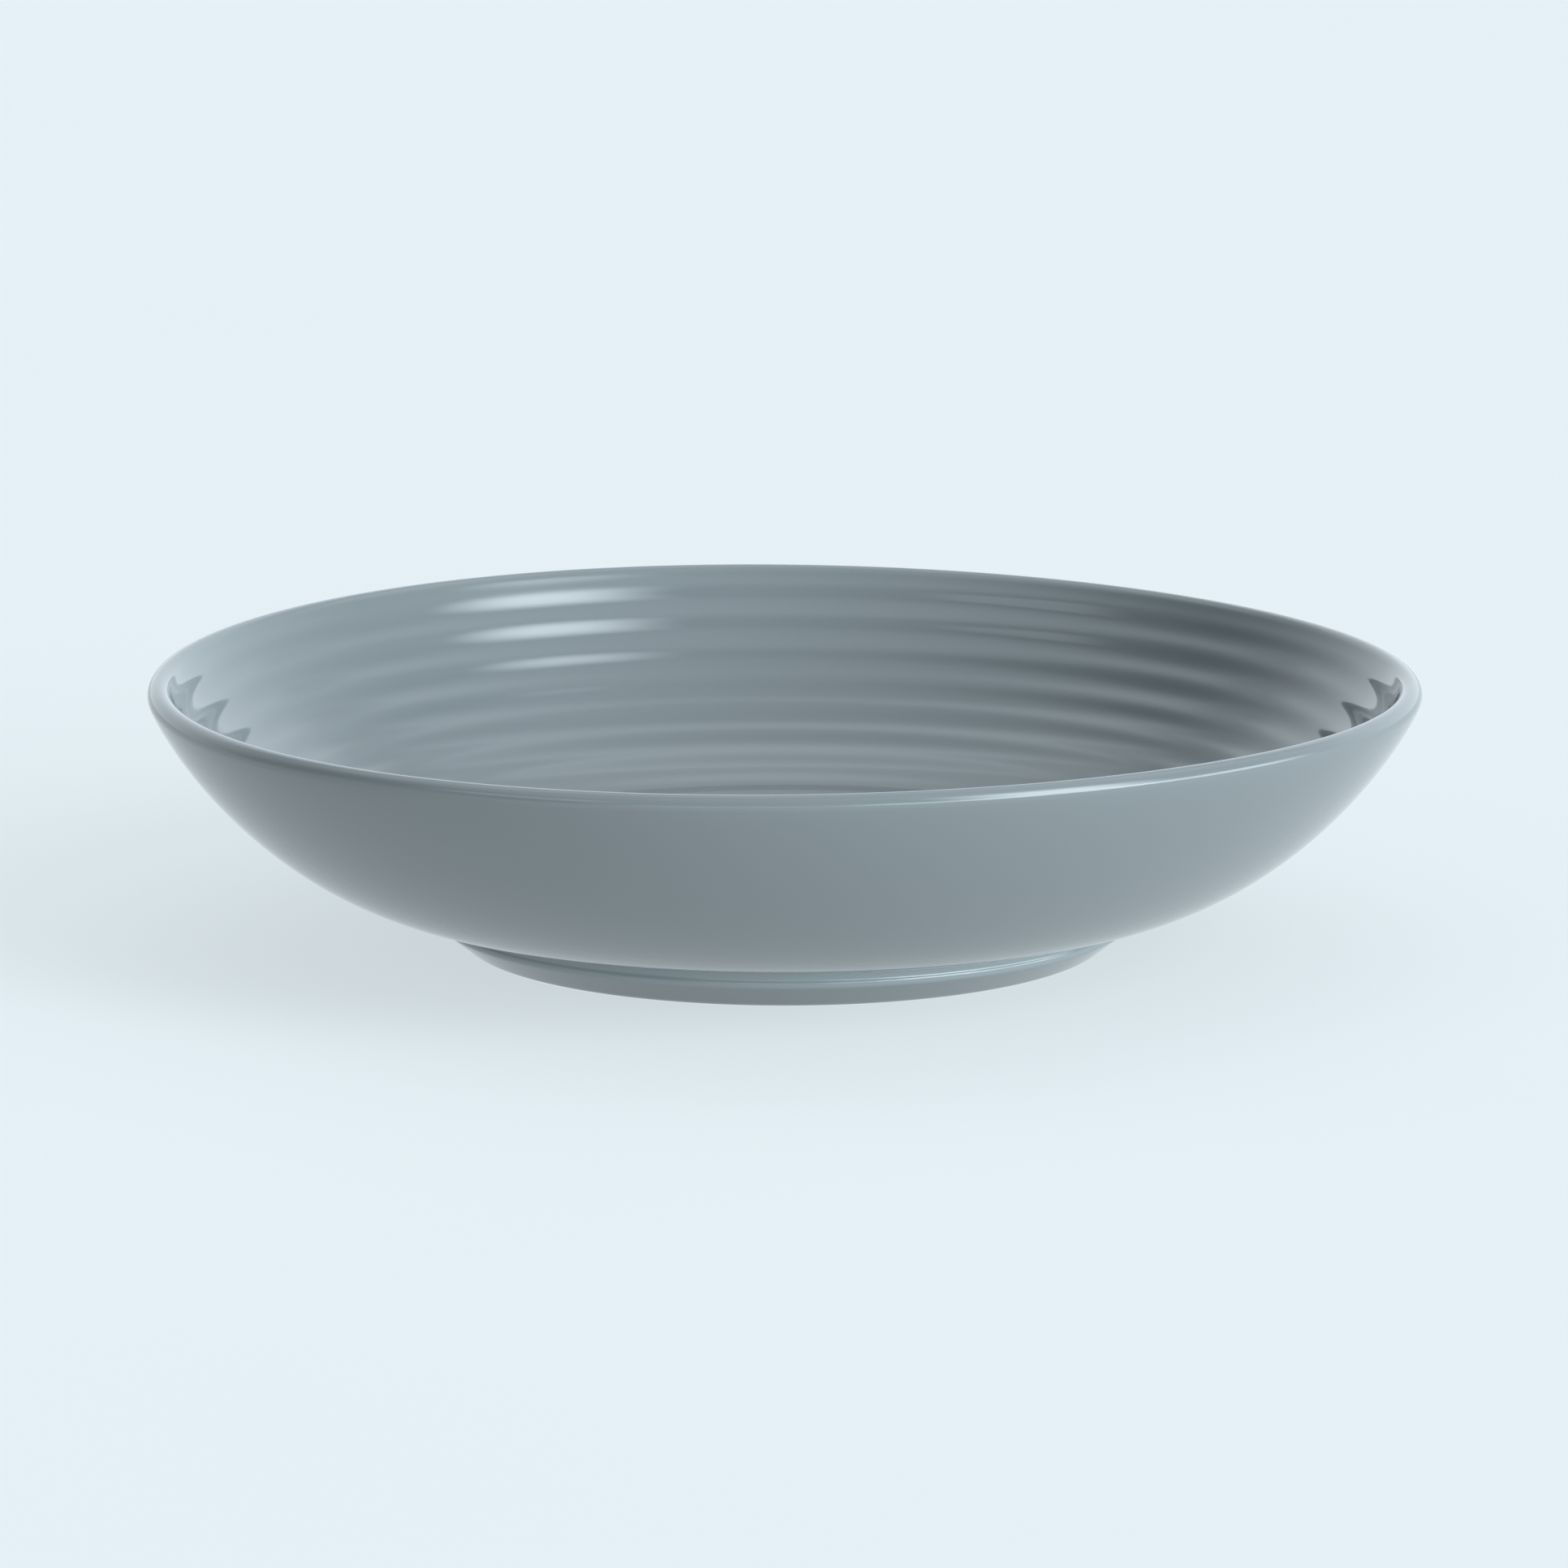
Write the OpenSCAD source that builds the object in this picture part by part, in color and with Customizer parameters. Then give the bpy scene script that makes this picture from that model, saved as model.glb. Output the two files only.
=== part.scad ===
// Pasta bowl in glazed stoneware: a wide, shallow bowl with a rippled inside,
// a rolled rim and a low bevelled foot.
// Everything is turned about the Z axis. Z = 0 is the table that the flat
// standing edge rests on. Sizes are in millimetres.

/* [Bowl] */
// Outside diameter over the rim
bowl_d = 240; // [230:1:250]
// Height of the top of the rim above the table
bowl_h = 51; // [49:0.5:53]
// Radius of the rolled rim
rim_r = 2.2; // [1.9:0.1:2.5]
// Slope of the outside of the wall just under the rim, in degrees from level
wall_slope = 61; // [59:0.5:63]
// How roundly the outside leaves the rim: radius of the shoulder
shoulder_r = 26; // [18:1:30]
// Height of the inside floor at its middle
floor_z = 11; // [10.5:0.25:12]

/* [Foot] */
// Diameter of the neck where the foot meets the bowl
neck_d = 131.6; // [130:0.4:134]
// Height of the outside of the bowl above the table at the neck
neck_z = 8.2; // [7.8:0.1:8.6]
// Height of the upright band of the neck
neck_h = 1.4; // [1:0.1:1.7]
// How far the foot's rounded top edge turns out from the neck, in degrees
bead_lead = 30; // [0:5:35]
// How far the flat standing edge lies inside the neck, on each side
stand_inset = 7.6; // [7:0.1:9]
// Width of the flat standing edge
stand_w = 3.5; // [2.8:0.1:5]
// Radius that rolls the bevel under to the standing edge
bevel_r = 4.2; // [3.4:0.2:5]
// Height of the recess inside the foot
recess_z = 5.2; // [4.6:0.1:5.5]

/* [Ripples] */
// Distance from one ripple to the next, along the wall
ripple_pitch = 6.95; // [5:0.05:9]
// Depth of a ripple from ridge to hollow
ripple_depth = 0.44; // [0:0.02:0.8]
// How much shallower the ripples are on the floor than on the wall, as a share
ripple_fade = 0.75; // [0:0.05:0.9]
// Distance from the rim to the first ridge, along the wall
ripple_start = 2.2; // [0.8:0.1:3]

/* [Glaze] */
// Thickness of the fired glaze
glaze_t = 0.3; // [0.2:0.05:0.4]
// Width of the bare band on each side of the flat standing edge
bare_w = 1.2; // [0.6:0.1:1.6]
// Length over which the glaze thins out towards a bare edge
thin_w = 3; // [2:0.5:4]

/* [Hidden] */
$fn = 180;

R = bowl_d / 2;
rim_c = [R - rim_r, bowl_h - rim_r];
shoulder_slope = wall_slope + 7;
neck_r = neck_d / 2;
stand_r = neck_r - stand_inset;
stand_in = stand_r - stand_w;
neck_fillet = 0.7;
edge_r = 1.2;
wall_under = 2;
foot_in_slope = 65;
foot_in_r = 0.8;
recess_fillet = 2.5;
floor_flat = R / 4;
ridge_gain = 0.04;

glaze_col = [0.56, 0.62, 0.65];
clay_col = [0.84, 0.79, 0.71];

// Unit vector at angle a, measured from +X towards +Z
function dir(a) = [cos(a), sin(a)];
// Point on a circle; a is the slope of the surface there, 0 at the bottom
function on_arc(c, r, a) = c + r * [sin(a), -cos(a)];
function bez(P, t) = pow(1 - t, 3) * P[0] + 3 * pow(1 - t, 2) * t * P[1]
    + 3 * (1 - t) * t * t * P[2] + pow(t, 3) * P[3];
function arc(c, r, a0, a1, n) = [for (i = [0 : n]) on_arc(c, r, a0 + (a1 - a0) * i / n)];
function smooth(x) = let (t = max(0, min(1, x))) t * t * (3 - 2 * t);
function flip(L) = [for (i = [len(L) - 1 : -1 : 0]) L[i]];
function part_of(L, a, b) = [for (i = [a : b]) L[i]];
function unit(v) = v / norm(v);
// Direction of travel along a list of points at point i
function travel(L, i) = unit(L[min(i + 1, len(L) - 1)] - L[max(i - 1, 0)]);
// Length along a list of points from point i to its end
function to_end(L, i, s = 0) = i >= len(L) - 1 ? s : to_end(L, i + 1, s + norm(L[i + 1] - L[i]));

// ---- inside face: a smooth mean curve, then the ripples ----
inner_slope = wall_slope - 2;
inner_end = on_arc(rim_c, rim_r, 180 + inner_slope);
inner_bez = [inner_end,
             inner_end - 0.317 * R * dir(inner_slope),
             [floor_flat + 0.375 * R, floor_z],
             [floor_flat, floor_z]];
inner_n = 120;
inner_pts = [for (i = [0 : inner_n]) bez(inner_bez, i / inner_n)];
// Table of distance down from the rim against the curve's parameter
inner_tab = [for (i = 0, s = 0; i <= inner_n;
                  s = s + (i < inner_n ? norm(inner_pts[i + 1] - inner_pts[i]) : 0), i = i + 1)
             [s, i / inner_n]];
inner_len = inner_tab[inner_n][0];
full_len = inner_len + floor_flat;
// Mean curve and its slope at distance s from the rim
function mean_pt(s) = s <= inner_len ? bez(inner_bez, lookup(s, inner_tab))
    : [full_len - s, floor_z];
function mean_slope(s) = let (a = mean_pt(max(0, s - 0.05)), b = mean_pt(min(full_len, s + 0.05)))
    atan2(a[1] - b[1], a[0] - b[0]);
// Height of the ripples: none right at the rim, shallower from 22 mm below it down to
// the floor, none at the middle of the floor. The ridges are a little narrower than
// the hollows.
function ripple(s) = let (a = 360 * (s - ripple_start) / ripple_pitch)
    ripple_depth / 2 * (cos(a) + ridge_gain * cos(2 * a))
    * smooth(s / 5) * (1 - ripple_fade * smooth((s - 22) / 32))
    * smooth((full_len - s - 3) / 9);
function inside_pt(s) = let (a = mean_slope(s)) mean_pt(s) + ripple(s) * [-sin(a), cos(a)];
ripple_steps = 10;
inside_n = round(full_len / ripple_pitch * ripple_steps);
// From the middle of the floor up to just under the rim
inside = [for (i = [inside_n : -1 : 1]) let (s = full_len * i / inside_n)
          i == inside_n ? [0, floor_z] : inside_pt(s)];

// ---- rim, shoulder and outside wall ----
rim = arc(rim_c, rim_r, 180 + inner_slope, shoulder_slope, 20);
shoulder_c = on_arc(rim_c, rim_r, shoulder_slope) - shoulder_r * [sin(shoulder_slope), -cos(shoulder_slope)];
shoulder = arc(shoulder_c, shoulder_r, shoulder_slope, wall_slope, 4);
wall_top = on_arc(shoulder_c, shoulder_r, wall_slope);
wall_foot = [neck_r + neck_fillet, neck_z];
wall_bez = [wall_top,
            wall_top - 0.161 * R * dir(wall_slope),
            wall_foot + 0.183 * R * dir(wall_under),
            wall_foot];
wall_n = 36;
wall = [for (i = [1 : wall_n]) bez(wall_bez, i / wall_n)];

// ---- outside of the foot: neck, rounded edge, bevel, roll to the standing edge ----
roll_c = [stand_r, bevel_r];
edge_top = [neck_r, neck_z - neck_fillet - neck_h];
edge_c = edge_top - edge_r * [cos(bead_lead), sin(bead_lead)];
// The bevel is the straight line that touches both rounded edges
centres = edge_c - roll_c;
bevel_slope = atan2(centres[1], centres[0]) + asin((bevel_r - edge_r) / norm(centres));
neck = arc([neck_r + neck_fillet, neck_z - neck_fillet], -neck_fillet, 0, 90, 5);
edge = arc(edge_c, edge_r, 90 + bead_lead, bevel_slope, 8);
roll_end = asin(bare_w / bevel_r);
roll = arc(roll_c, bevel_r, bevel_slope, roll_end, 8);

main = concat(inside, rim, part_of(shoulder, 1, 4), wall, part_of(neck, 1, 5), edge, roll);
// The joint runs from the end of the neck's fillet to the rim of the recess
joint_i = len(inside) + len(rim) + 4 + len(wall) + 5 - 1;
// Clay under the glaze: a constant depth in, thinning to nothing at the bare edge
function depth_at(L, i) = glaze_t * smooth(to_end(L, i) / thin_w);
main_clay = [for (i = [0 : len(main) - 1])
             let (t = travel(main, i), d = i > joint_i ? depth_at(main, i) : glaze_t)
             i == 0 ? [0, floor_z - glaze_t] : main[i] + d * [t[1], -t[0]]];

// ---- inside of the foot and the recess ----
in_roll_c = [stand_in, foot_in_r];
in_top = on_arc(in_roll_c, foot_in_r, -foot_in_slope);
in_dir = dir(180 - foot_in_slope);
in_air = [-sin(foot_in_slope), -cos(foot_in_slope)];
fil_z = recess_z - recess_fillet;
fil_on = in_top + in_dir * (fil_z - recess_fillet * in_air[1] - in_top[1]) / in_dir[1];
fil_c = fil_on + recess_fillet * in_air;
recess = arc(fil_c, -recess_fillet, 0, -foot_in_slope, 8);
in_glaze_end = in_top + 0.5 * in_dir;
under_n = 6;
under = concat([[0, recess_z]], recess,
               [for (i = [1 : under_n]) recess[8] + (in_glaze_end - recess[8]) * i / under_n]);
under_clay = [for (i = [0 : len(under) - 1])
              let (t = travel(under, i), d = glaze_t * smooth(to_end(under, i) / min(thin_w, 2)))
              i == 0 ? [0, recess_z + glaze_t]
              : i == 1 ? [recess[0][0], recess_z + glaze_t]
              : under[i] + d * [-t[1], t[0]]];

// ---- bare clay across the standing edge ----
bare = concat(part_of(arc(roll_c, bevel_r, roll_end, 0, 4), 1, 4),
              arc(in_roll_c, foot_in_r, 0, -foot_in_slope, 5));

module turned(pts) rotate_extrude() polygon(pts);

// Clay wall and floor, with the joint to the foot underneath
module bowl_body() color(clay_col)
    turned(concat(part_of(main_clay, 0, joint_i), [under_clay[1], under_clay[0]]));

// Clay foot ring
module foot_ring() color(clay_col)
    turned(concat(part_of(main_clay, joint_i, len(main_clay) - 1), bare,
                  flip(part_of(under_clay, 1, len(under_clay) - 1))));

// Glaze over the inside, the rim, the outside and the foot's outer side
module glaze_coat() color(glaze_col)
    turned(concat(main, flip(part_of(main_clay, 0, len(main_clay) - 2))));

// Glaze inside the foot
module underside_glaze() color(glaze_col)
    turned(concat(under, flip(part_of(under_clay, 0, len(under_clay) - 2))));

bowl_body();
foot_ring();
glaze_coat();
underside_glaze();
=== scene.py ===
import math

import bmesh
import bpy
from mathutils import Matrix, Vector


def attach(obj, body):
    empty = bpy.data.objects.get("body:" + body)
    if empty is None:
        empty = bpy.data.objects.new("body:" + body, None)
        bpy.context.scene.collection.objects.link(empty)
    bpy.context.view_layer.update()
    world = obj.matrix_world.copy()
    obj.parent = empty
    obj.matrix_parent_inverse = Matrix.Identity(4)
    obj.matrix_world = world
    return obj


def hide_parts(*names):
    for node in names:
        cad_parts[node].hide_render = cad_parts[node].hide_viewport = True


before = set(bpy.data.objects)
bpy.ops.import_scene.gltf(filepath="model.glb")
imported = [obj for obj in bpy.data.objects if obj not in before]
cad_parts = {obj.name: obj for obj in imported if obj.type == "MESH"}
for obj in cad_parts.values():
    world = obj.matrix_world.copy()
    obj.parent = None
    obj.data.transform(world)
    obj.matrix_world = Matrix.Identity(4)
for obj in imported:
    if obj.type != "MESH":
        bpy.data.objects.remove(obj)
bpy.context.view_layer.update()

# ---------------------------------------------------------------- profile
# The same curves as the construction, in millimetres; meshes are in metres.
R, H = 120.0, 51.0
RIM_R = 2.2
OUT_SLOPE, IN_SLOPE = 61.0, 59.0
SHOULDER_R, SHOULDER_SLOPE = 26.0, 68.0
FLOOR_Z, FLOOR_FLAT = 11.0, 30.0
NECK_R, NECK_Z, NECK_H, NECK_FILLET, WALL_UNDER = 65.8, 8.2, 1.4, 0.7, 2.0
STAND_R, STAND_W = 58.2, 3.5
BEVEL_R, EDGE_R, BEAD_LEAD = 4.2, 1.2, 30.0
RECESS_Z, RECESS_FILLET = 5.2, 2.5
FOOT_IN_SLOPE, FOOT_IN_R = 65.0, 0.8
PITCH, DEPTH, FADE, START, RIDGE_GAIN = 6.95, 0.44, 0.75, 2.2, 0.04
GLAZE, BARE_W, THIN_W = 0.3, 1.2, 3.0


def v2(x, z):
    return (x, z)


def add(a, b, k=1.0):
    return (a[0] + k * b[0], a[1] + k * b[1])


def unit_at(a):
    return (math.cos(math.radians(a)), math.sin(math.radians(a)))


def on_arc(c, r, a):
    a = math.radians(a)
    return (c[0] + r * math.sin(a), c[1] - r * math.cos(a))


def arc(c, r, a0, a1, n):
    return [on_arc(c, r, a0 + (a1 - a0) * i / n) for i in range(n + 1)]


def bez(P, t):
    k = ((1 - t) ** 3, 3 * (1 - t) ** 2 * t, 3 * (1 - t) * t * t, t ** 3)
    return (sum(w * p[0] for w, p in zip(k, P)), sum(w * p[1] for w, p in zip(k, P)))


def smooth(x):
    t = max(0.0, min(1.0, x))
    return t * t * (3 - 2 * t)


def dist(a, b):
    return math.hypot(a[0] - b[0], a[1] - b[1])


RIM_C = (R - RIM_R, H - RIM_R)
inner_end = on_arc(RIM_C, RIM_R, 180 + IN_SLOPE)
inner_bez = [inner_end, add(inner_end, unit_at(IN_SLOPE), -0.317 * R),
             (FLOOR_FLAT + 0.375 * R, FLOOR_Z), (FLOOR_FLAT, FLOOR_Z)]
TAB = [(0.0, inner_end)]
for i in range(1, 1201):
    q = bez(inner_bez, i / 1200)
    TAB.append((TAB[-1][0] + dist(TAB[-1][1], q), q))
INNER_LEN = TAB[-1][0]
FULL_LEN = INNER_LEN + FLOOR_FLAT


def mean_pt(s):
    if s >= INNER_LEN:
        return (FULL_LEN - s, FLOOR_Z)
    lo, hi = 0, len(TAB) - 1
    while hi - lo > 1:
        m = (lo + hi) // 2
        if TAB[m][0] <= s:
            lo = m
        else:
            hi = m
    k = (s - TAB[lo][0]) / (TAB[hi][0] - TAB[lo][0])
    a, b = TAB[lo][1], TAB[hi][1]
    return (a[0] + (b[0] - a[0]) * k, a[1] + (b[1] - a[1]) * k)


def ripple(s):
    a = 2 * math.pi * (s - START) / PITCH
    return (DEPTH / 2 * (math.cos(a) + RIDGE_GAIN * math.cos(2 * a))
            * smooth(s / 5) * (1 - FADE * smooth((s - 22) / 32))
            * smooth((FULL_LEN - s - 3) / 9))


def inside_pt(s):
    a, b = mean_pt(max(0.0, s - 0.3)), mean_pt(min(FULL_LEN, s + 0.3))
    l = dist(a, b)
    t = ((a[0] - b[0]) / l, (a[1] - b[1]) / l)
    return add(mean_pt(s), (-t[1], t[0]), ripple(s))


def lerp_pts(a, b, n):
    return [(a[0] + (b[0] - a[0]) * i / n, a[1] + (b[1] - a[1]) * i / n) for i in range(1, n + 1)]


def offset(pts, depth):
    """Points moved to the right of the way along the list: into the clay."""
    out = []
    for i, p in enumerate(pts):
        a, b = pts[max(i - 1, 0)], pts[min(i + 1, len(pts) - 1)]
        l = dist(a, b)
        out.append((p[0] + depth[i] * (b[1] - a[1]) / l, p[1] - depth[i] * (b[0] - a[0]) / l))
    return out


# inside face, from the middle of the floor up to the rim; finer towards the rim
STEP_FINE, STEP_FLOOR = 0.42, 0.62
marks = []
s = 0.0
while s < FULL_LEN - 0.3:
    s += STEP_FINE if s < 70 else STEP_FLOOR
    marks.append(min(s, FULL_LEN))
marks[-1] = FULL_LEN
inside = [(0.0, FLOOR_Z)] + [inside_pt(q) for q in reversed(marks[:-1])]
inside_s = [FULL_LEN] + list(reversed(marks[:-1]))

rim = arc(RIM_C, RIM_R, 180 + IN_SLOPE, SHOULDER_SLOPE, 26)
sh_c = add(on_arc(RIM_C, RIM_R, SHOULDER_SLOPE),
           (math.sin(math.radians(SHOULDER_SLOPE)), -math.cos(math.radians(SHOULDER_SLOPE))), -SHOULDER_R)
shoulder = arc(sh_c, SHOULDER_R, SHOULDER_SLOPE, OUT_SLOPE, 5)
wall_top, wall_foot = shoulder[-1], (NECK_R + NECK_FILLET, NECK_Z)
wall_bez = [wall_top, add(wall_top, unit_at(OUT_SLOPE), -0.161 * R),
            add(wall_foot, unit_at(WALL_UNDER), 0.183 * R), wall_foot]
wall = [bez(wall_bez, i / 56) for i in range(1, 57)]

roll_c = (STAND_R, BEVEL_R)
edge_top = (NECK_R, NECK_Z - NECK_FILLET - NECK_H)
edge_c = add(edge_top, unit_at(BEAD_LEAD), -EDGE_R)
BEVEL_SLOPE = math.degrees(math.atan2(edge_c[1] - roll_c[1], edge_c[0] - roll_c[0])
                           + math.asin((BEVEL_R - EDGE_R) / dist(edge_c, roll_c)))
neck = arc((NECK_R + NECK_FILLET, NECK_Z - NECK_FILLET), -NECK_FILLET, 0, 90, 8)
edge = arc(edge_c, EDGE_R, 90 + BEAD_LEAD, BEVEL_SLOPE, 12)
roll_end = math.degrees(math.asin(BARE_W / BEVEL_R))
roll = arc(roll_c, BEVEL_R, BEVEL_SLOPE, roll_end, 10)

outside = (rim + shoulder[1:] + wall + neck[1:] + lerp_pts(neck[-1], edge[0], 4) + edge[1:]
           + lerp_pts(edge[-1], roll[0], 6) + roll[1:])
main = inside + outside

# how far each point is from the glaze's lower edge
to_end = [0.0] * len(main)
for i in range(len(main) - 2, -1, -1):
    to_end[i] = to_end[i + 1] + dist(main[i], main[i + 1])
n_under = main.index(neck[-1])
main_depth = [GLAZE if i <= n_under else GLAZE * smooth(to_end[i] / THIN_W) for i in range(len(main))]
main_clay = offset(main, main_depth)
main_clay[0] = (0.0, FLOOR_Z - GLAZE)

in_roll_c = (STAND_R - STAND_W, FOOT_IN_R)
in_top = on_arc(in_roll_c, FOOT_IN_R, -FOOT_IN_SLOPE)
in_dir = unit_at(180 - FOOT_IN_SLOPE)
in_air = (-math.sin(math.radians(FOOT_IN_SLOPE)), -math.cos(math.radians(FOOT_IN_SLOPE)))
fil_z = RECESS_Z - RECESS_FILLET
fil_on = add(in_top, in_dir, (fil_z - RECESS_FILLET * in_air[1] - in_top[1]) / in_dir[1])
fil_c = add(fil_on, in_air, RECESS_FILLET)
recess = arc(fil_c, -RECESS_FILLET, 0, -FOOT_IN_SLOPE, 12)
in_glaze_end = add(in_top, in_dir, 0.5)
under = ([(0.0, RECESS_Z)] + lerp_pts((0.0, RECESS_Z), recess[0], 14) + recess[1:]
         + lerp_pts(recess[-1], in_glaze_end, 8))
u_end = [0.0] * len(under)
for i in range(len(under) - 2, -1, -1):
    u_end[i] = u_end[i + 1] + dist(under[i], under[i + 1])
under_clay = offset(under, [-GLAZE * smooth(e / 2.0) for e in u_end])
under_clay[0] = (0.0, RECESS_Z + GLAZE)
bare = (arc(roll_c, BEVEL_R, roll_end, 0, 5)[1:]
        + lerp_pts((STAND_R, 0.0), (STAND_R - STAND_W, 0.0), 6)
        + arc(in_roll_c, FOOT_IN_R, 0, -FOOT_IN_SLOPE, 8)[1:])


# ---------------------------------------------------------------- meshes
def thin_out(pts, keep):
    """Every keep-th point of a list, with both ends."""
    return [p for i, p in enumerate(pts) if i % keep == 0 or i in (0, len(pts) - 1)]


def warp(r, a):
    """The wall sagged a little in the kiln: the rim is a faint saddle, in millimetres."""
    k = max(0.0, (r - 66.0) / (R - 66.0))
    return 0.78 * k ** 2 * math.cos(2 * (a - math.radians(120)))


def turned(name, loop, seg, height=None):
    """A closed outline turned about Z into one closed mesh, in metres.
    height gives each point's place on the ripples, 1 on a ridge and 0 in a hollow,
    and goes up to 2 where painted light makes the glaze paler in the shaded neck of the foot."""
    bm = bmesh.new()
    layer = bm.verts.layers.float.new("ripple")
    rings = []
    for k, (r, z) in enumerate(loop):
        h = 0.5 if height is None else height[k]
        ring = []
        for j in range(seg if r > 1e-6 else 1):
            a = 2 * math.pi * j / seg
            v = bm.verts.new((r * math.cos(a) / 1000, r * math.sin(a) / 1000, (z + warp(r, a)) / 1000))
            v[layer] = h
            ring.append(v)
        rings.append(ring)
    n = len(rings)
    for k in range(n):
        a, b = rings[k], rings[(k + 1) % n]
        if len(a) == 1 and len(b) == 1:
            continue
        for j in range(seg):
            m = (j + 1) % seg
            if len(a) == 1:
                bm.faces.new((a[0], b[m], b[j]))
            elif len(b) == 1:
                bm.faces.new((a[j], a[m], b[0]))
            else:
                bm.faces.new((a[j], a[m], b[m], b[j]))
    bmesh.ops.recalc_face_normals(bm, faces=bm.faces)
    me = bpy.data.meshes.new(name)
    bm.to_mesh(me)
    bm.free()
    me.polygons.foreach_set("use_smooth", [True] * len(me.polygons))
    me.set_sharp_from_angle(angle=math.radians(50))
    obj = bpy.data.objects.new(name, me)
    bpy.context.scene.collection.objects.link(obj)
    return obj


SEG = 204
ridge = [0.5 + ripple(q) / DEPTH for q in inside_s]
clay_main = thin_out(main_clay[:n_under + 1], 6)
clay_foot = main_clay[n_under:]

coat_loop = main + list(reversed(clay_foot[:-1])) + list(reversed(clay_main[:-1]))
coat_ripple_and_painted_light = ridge + [0.5] * (len(coat_loop) - len(ridge))
# painted light: the glaze colour is made paler just under the wall, in the shaded neck of the foot
# and over the foot's rounded top edge, lifting the shade there
i_foot = main.index(wall[-1])
for i in range(len(ridge), len(main)):
    along = to_end[i_foot] - to_end[i]
    coat_ripple_and_painted_light[i] += 1.5 * smooth((along + 3.0) / 3.0) * smooth((5.5 - along) / 2.5)
coat = turned("glaze_main", coat_loop, SEG, coat_ripple_and_painted_light)
under_loop = under + list(reversed(under_clay[:-1]))
under_coat = turned("glaze_foot", under_loop, SEG)
body_loop = clay_main + list(reversed(under_clay[:15]))
body = turned("clay_body", body_loop, SEG)
foot_loop = clay_foot + bare + list(reversed(under_clay[14:-1]))
foot = turned("clay_foot", foot_loop, SEG)

for piece, node, slot in ((coat, "glaze_coat", "glaze"), (under_coat, "underside_glaze", "glaze"),
                          (body, "bowl_body", "clay"), (foot, "foot_ring", "clay")):
    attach(piece, "root")
    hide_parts(node)


# ---------------------------------------------------------------- materials
def new_material(name):
    mat = bpy.data.materials.new(name)
    mat.use_nodes = True
    nt = mat.node_tree
    nt.nodes.clear()
    out = nt.nodes.new("ShaderNodeOutputMaterial")
    bsdf = nt.nodes.new("ShaderNodeBsdfPrincipled")
    nt.links.new(bsdf.outputs["BSDF"], out.inputs["Surface"])
    return mat, nt, bsdf


def noise(nt, coord, scale, detail=2.0, rough=0.5):
    n = nt.nodes.new("ShaderNodeTexNoise")
    n.inputs["Scale"].default_value = scale
    n.inputs["Detail"].default_value = detail
    n.inputs["Roughness"].default_value = rough
    nt.links.new(coord, n.inputs["Vector"])
    return n.outputs["Fac"]


def remap(nt, value, a, b, c, d):
    m = nt.nodes.new("ShaderNodeMapRange")
    m.interpolation_type = "SMOOTHSTEP"
    m.inputs["From Min"].default_value = a
    m.inputs["From Max"].default_value = b
    m.inputs["To Min"].default_value = c
    m.inputs["To Max"].default_value = d
    nt.links.new(value, m.inputs["Value"])
    return m.outputs["Result"]


def mix(nt, fac, a, b):
    m = nt.nodes.new("ShaderNodeMix")
    m.data_type = "RGBA"
    for sock, val in ((m.inputs["Factor"], fac), (m.inputs["A"], a), (m.inputs["B"], b)):
        if isinstance(val, bpy.types.NodeSocket):
            nt.links.new(val, sock)
        elif isinstance(val, float):
            sock.default_value = val
        else:
            sock.default_value = (*val, 1.0)
    return m.outputs["Result"]


def glaze_material():
    mat, nt, bsdf = new_material("grey_blue_glaze")
    tc = nt.nodes.new("ShaderNodeTexCoord")
    co = tc.outputs["Object"]
    att = nt.nodes.new("ShaderNodeAttribute")
    att.attribute_type = "GEOMETRY"
    att.attribute_name = "ripple"
    # the glaze is thinner and paler on the ridges, thicker and deeper in the hollows
    pool = remap(nt, att.outputs["Fac"], 0.0, 1.0, 0.0, 1.0)
    base = mix(nt, pool, GLAZE_DEEP, GLAZE_PALE)
    # broad, very weak clouds from uneven dipping
    cloud = remap(nt, noise(nt, co, 22.0, 3.0), 0.35, 0.65, 0.0, 0.25)
    base = mix(nt, cloud, base, GLAZE_DEEP)
    # painted light: above 1 the attribute mixes in a paler glaze colour, lifting the shade in the neck of
    # the foot and over its top edge
    painted_light = remap(nt, att.outputs["Fac"], 1.0, 2.0, 0.0, 1.0)
    base = mix(nt, painted_light, base, GLAZE_PAINTED_LIGHT)
    nt.links.new(base, bsdf.inputs["Base Color"])
    rough = remap(nt, noise(nt, co, 90.0, 2.0), 0.3, 0.7, 0.055, 0.085)
    nt.links.new(rough, bsdf.inputs["Roughness"])
    bsdf.inputs["IOR"].default_value = 1.52
    bump = nt.nodes.new("ShaderNodeBump")
    bump.inputs["Strength"].default_value = 0.10
    bump.inputs["Distance"].default_value = 0.0001
    nt.links.new(noise(nt, co, 260.0, 2.0), bump.inputs["Height"])
    nt.links.new(bump.outputs["Normal"], bsdf.inputs["Normal"])
    return mat


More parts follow.
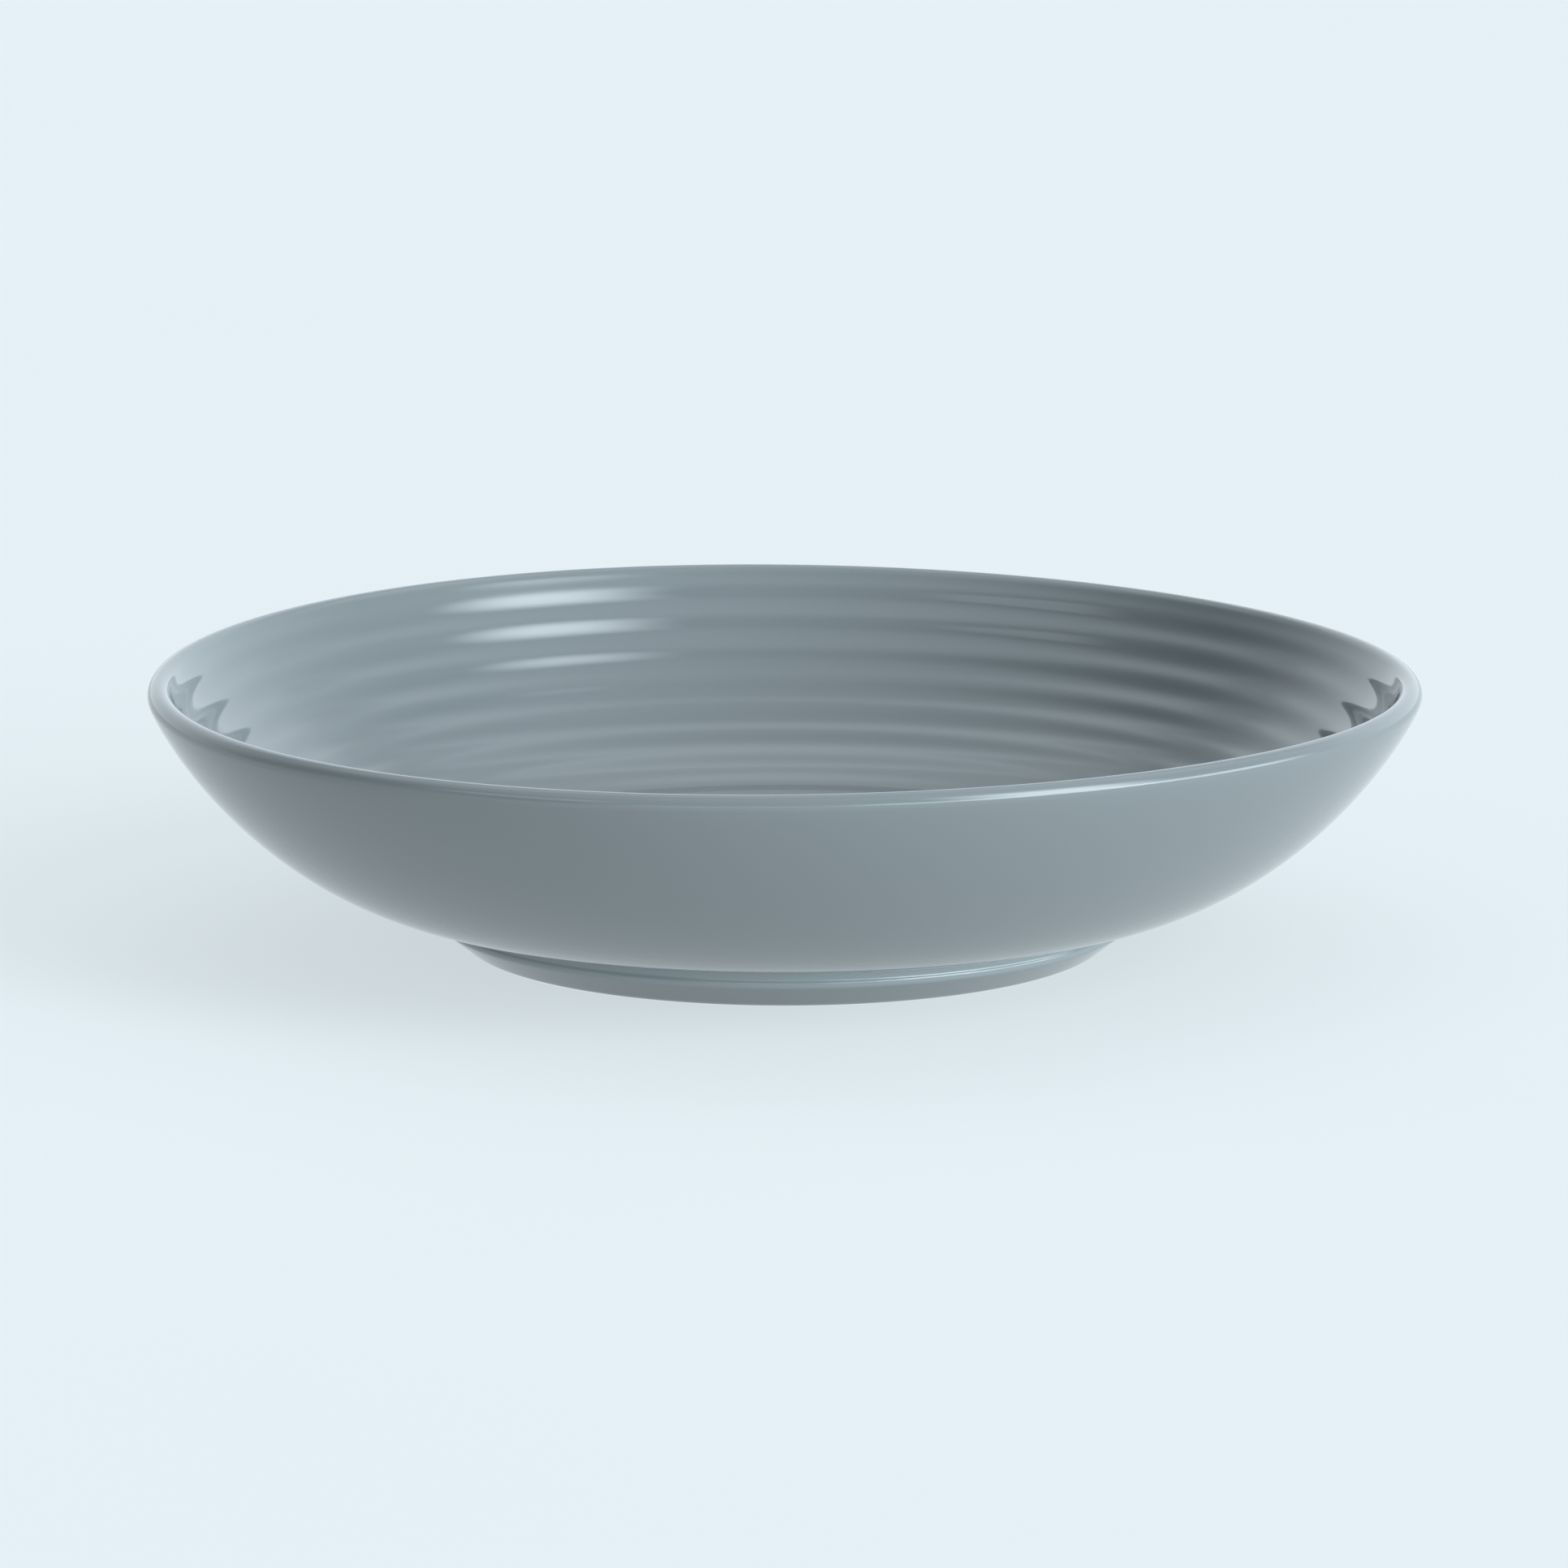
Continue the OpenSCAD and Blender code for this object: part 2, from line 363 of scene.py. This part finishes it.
def clay_material():
    mat, nt, bsdf = new_material("bare_stoneware")
    tc = nt.nodes.new("ShaderNodeTexCoord")
    co = tc.outputs["Object"]
    cloud = remap(nt, noise(nt, co, 60.0, 4.0), 0.3, 0.7, 0.0, 1.0)
    base = mix(nt, cloud, (0.60, 0.53, 0.43), (0.69, 0.62, 0.52))
    grit = remap(nt, noise(nt, co, 2600.0, 2.0), 0.62, 0.74, 0.0, 0.5)
    base = mix(nt, grit, base, (0.40, 0.33, 0.26))
    nt.links.new(base, bsdf.inputs["Base Color"])
    rough = remap(nt, noise(nt, co, 900.0, 2.0), 0.3, 0.7, 0.62, 0.82)
    nt.links.new(rough, bsdf.inputs["Roughness"])
    bump = nt.nodes.new("ShaderNodeBump")
    bump.inputs["Strength"].default_value = 0.5
    bump.inputs["Distance"].default_value = 0.0002
    nt.links.new(noise(nt, co, 1600.0, 4.0, 0.6), bump.inputs["Height"])
    nt.links.new(bump.outputs["Normal"], bsdf.inputs["Normal"])
    return mat


GLAZE_DEEP = (0.172, 0.193, 0.200)
GLAZE_PALE = (0.178, 0.199, 0.206)
# painted light: the paler colour put into the shaded neck of the foot and over its top edge
GLAZE_PAINTED_LIGHT = (0.262, 0.298, 0.309)
glaze, clay = glaze_material(), clay_material()
for piece in (coat, under_coat):
    piece.data.materials.append(glaze)
for piece in (body, foot):
    piece.data.materials.append(clay)


# ---------------------------------------------------------------- floor
FLOOR_GLOW = 0.635


def floor_piece():
    bm = bmesh.new()
    rings, seg = [0.0, 0.3, 1.0, 3.0, 9.0, 30.0], 64
    last = [bm.verts.new((0, 0, 0))]
    for r in rings[1:]:
        ring = [bm.verts.new((r * math.cos(2 * math.pi * j / seg), r * math.sin(2 * math.pi * j / seg), 0))
                for j in range(seg)]
        for j in range(seg):
            m = (j + 1) % seg
            if len(last) == 1:
                bm.faces.new((last[0], ring[j], ring[m]))
            else:
                bm.faces.new((last[j], ring[j], ring[m], last[m]))
        last = ring
    me = bpy.data.meshes.new("floor")
    bm.to_mesh(me)
    bm.free()
    obj = bpy.data.objects.new("floor", me)
    bpy.context.scene.collection.objects.link(obj)
    mat, nt, bsdf = new_material("pale_floor")
    tc = nt.nodes.new("ShaderNodeTexCoord")
    tone = remap(nt, noise(nt, tc.outputs["Object"], 3.0, 2.0), 0.3, 0.7, 0.0, 1.0)
    nt.links.new(mix(nt, tone, (0.215, 0.215, 0.215), (0.225, 0.225, 0.225)), bsdf.inputs["Base Color"])
    bsdf.inputs["Roughness"].default_value = 0.85
    bsdf.inputs["Specular IOR Level"].default_value = 0.0
    # a light table: the floor glows softly, so the shadow under the bowl stays pale
    bsdf.inputs["Emission Color"].default_value = (0.885, 0.985, 1.035, 1.0)
    bsdf.inputs["Emission Strength"].default_value = FLOOR_GLOW
    mat.cycles.emission_sampling = "NONE"
    me.materials.append(mat)
    return obj


floor_piece()

# ---------------------------------------------------------------- studio light
world = bpy.data.worlds.new("studio")
bpy.context.scene.world = world
world.use_nodes = True
wt = world.node_tree
wt.nodes.clear()
w_out = wt.nodes.new("ShaderNodeOutputWorld")
w_bg = wt.nodes.new("ShaderNodeBackground")
wt.links.new(w_bg.outputs["Background"], w_out.inputs["Surface"])
w_dir = wt.nodes.new("ShaderNodeTexCoord").outputs["Generated"]


def w_math(op, a, b=None, c=None):
    n = wt.nodes.new("ShaderNodeMath")
    n.operation = op
    for i, val in enumerate((a, b, c)):
        if val is None:
            continue
        if isinstance(val, bpy.types.NodeSocket):
            wt.links.new(val, n.inputs[i])
        else:
            n.inputs[i].default_value = val
    return n.outputs[0]


def w_dot(vec):
    n = wt.nodes.new("ShaderNodeVectorMath")
    n.operation = "DOT_PRODUCT"
    wt.links.new(w_dir, n.inputs[0])
    n.inputs[1].default_value = vec
    return n.outputs["Value"]


def w_ramp(value, a, b, lo, hi):
    return remap(wt, value, a, b, lo, hi)


def direction(az, el):
    """az in degrees from +X towards +Y, el above the horizon."""
    a, e = math.radians(az), math.radians(el)
    return Vector((math.cos(e) * math.cos(a), math.cos(e) * math.sin(a), math.sin(e)))


def softbox(az, el, half_w, half_h, edge_w, edge_h, strength):
    """A soft-edged rectangular light far away, sized by its half angles."""
    d = direction(az, el)
    side = Vector((-math.sin(math.radians(az)), math.cos(math.radians(az)), 0))
    up = d.cross(side) * -1
    w = w_math("MAXIMUM", w_dot(d), 1e-4)
    u = w_math("ABSOLUTE", w_math("DIVIDE", w_dot(side), w))
    v = w_math("ABSOLUTE", w_math("DIVIDE", w_dot(up), w))
    tw, th = math.tan(math.radians(half_w)), math.tan(math.radians(half_h))
    mu = w_ramp(u, tw * (1 - edge_w), tw * (1 + edge_w), 1, 0)
    mv = w_ramp(v, th * (1 - edge_h), th * (1 + edge_h), 1, 0)
    front = w_ramp(w_dot(d), 0.05, 0.15, 0, 1)
    return w_math("MULTIPLY", w_math("MULTIPLY", mu, mv), w_math("MULTIPLY", front, strength))


def light_sum(terms):
    total = terms[0]
    for t in terms[1:]:
        total = w_math("ADD", total, t)
    return total


# a tall soft window at the front right with lower glows on both sides of it, faint
# panels at the front and the left, a pale back wall and ceiling, and a dimmer band
# where the two meet
z_up = w_dot((0, 0, 1))
y_back = w_dot((0, 1, 0))
level = light_sum([
    w_ramp(y_back, 0.05, 0.85, 0.0, 1.31),
    w_ramp(z_up, 0.60, 0.92, 0.0, 0.86),
    softbox(322, 20, 14.3, 24.5, 0.85, 0.62, 9.6),
    softbox(352, 4, 20, 9, 0.6, 0.6, 6.6),
    softbox(298, 4, 14, 10, 0.6, 0.6, 4.4),
    softbox(262, 22, 26, 24, 0.5, 0.5, 0.42),
    softbox(262, 3, 20, 7, 0.6, 0.6, 1.5),
    softbox(218, 31, 15, 8, 0.6, 0.5, 1.35),
    softbox(190, 2, 22, 12, 0.6, 0.6, 0.55),
    softbox(90, 43, 36, 7.5, 0.5, 0.7, -0.5),
])
wt.links.new(level, w_bg.inputs["Strength"])
w_bg.inputs["Color"].default_value = (0.88, 0.98, 1.045, 1.0)

# ---------------------------------------------------------------- camera
PITCH_DOWN, DIST, AIM_Z = math.radians(11.25), 2.4, 0.023
cam_data = bpy.data.cameras.new("camera")
cam = bpy.data.objects.new("camera", cam_data)
bpy.context.scene.collection.objects.link(cam)
cam.location = (0, -DIST * math.cos(PITCH_DOWN), AIM_Z + DIST * math.sin(PITCH_DOWN))
cam.rotation_euler = (math.pi / 2 - PITCH_DOWN, 0, 0)
cam_data.sensor_fit = "HORIZONTAL"
cam_data.sensor_width = 36
cam_data.lens = 15658 * 36 / 1932
cam_data.shift_x = -1.0 / 1932
cam_data.shift_y = 46.4 / 1932
cam_data.clip_start = 0.05
cam_data.clip_end = 100
bpy.context.scene.camera = cam
bpy.context.scene.view_settings.view_transform = "Standard"
